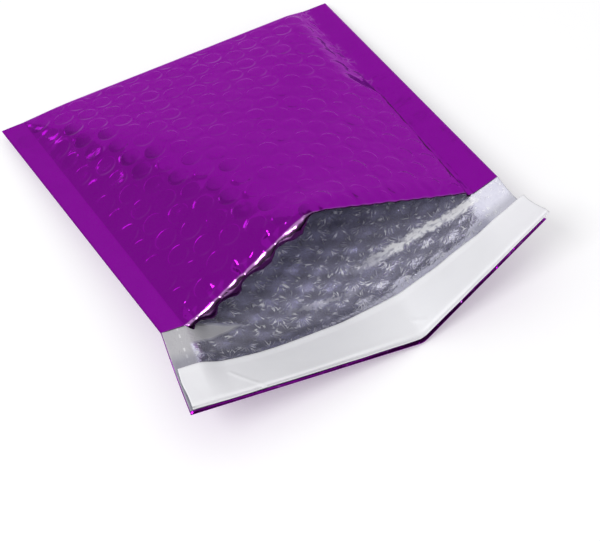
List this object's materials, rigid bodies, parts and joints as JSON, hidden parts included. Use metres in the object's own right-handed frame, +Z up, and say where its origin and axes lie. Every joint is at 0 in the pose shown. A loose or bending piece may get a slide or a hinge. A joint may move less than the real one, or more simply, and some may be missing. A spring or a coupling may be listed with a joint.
{
  "type": "padded envelope",
  "caption": "Padded mailing envelope lying open, with a metallised film outside, a silver bubble lining and a flap with a peel-off strip.",
  "frame": {"origin": "middle of the bounding box's base, on the floor", "axes": "+X across from the left seam to the right seam, +Y from the mouth towards the bottom fold, +Z up"},
  "size_m": [0.1944, 0.212, 0.0557],
  "materials": {
    "outer_film": "metallised film, glossy",
    "bubble_lining": "silver metallised bubble film, glossy",
    "adhesive_strip": "clear pressure-sensitive glue",
    "release_strip": "smooth coated paper"
  },
  "bodies": {
    "root": {"outer_film": "outer_film", "bubble_lining": "bubble_lining", "adhesive_strip": "adhesive_strip", "release_strip": "release_strip"}
  },
  "joints": []
}
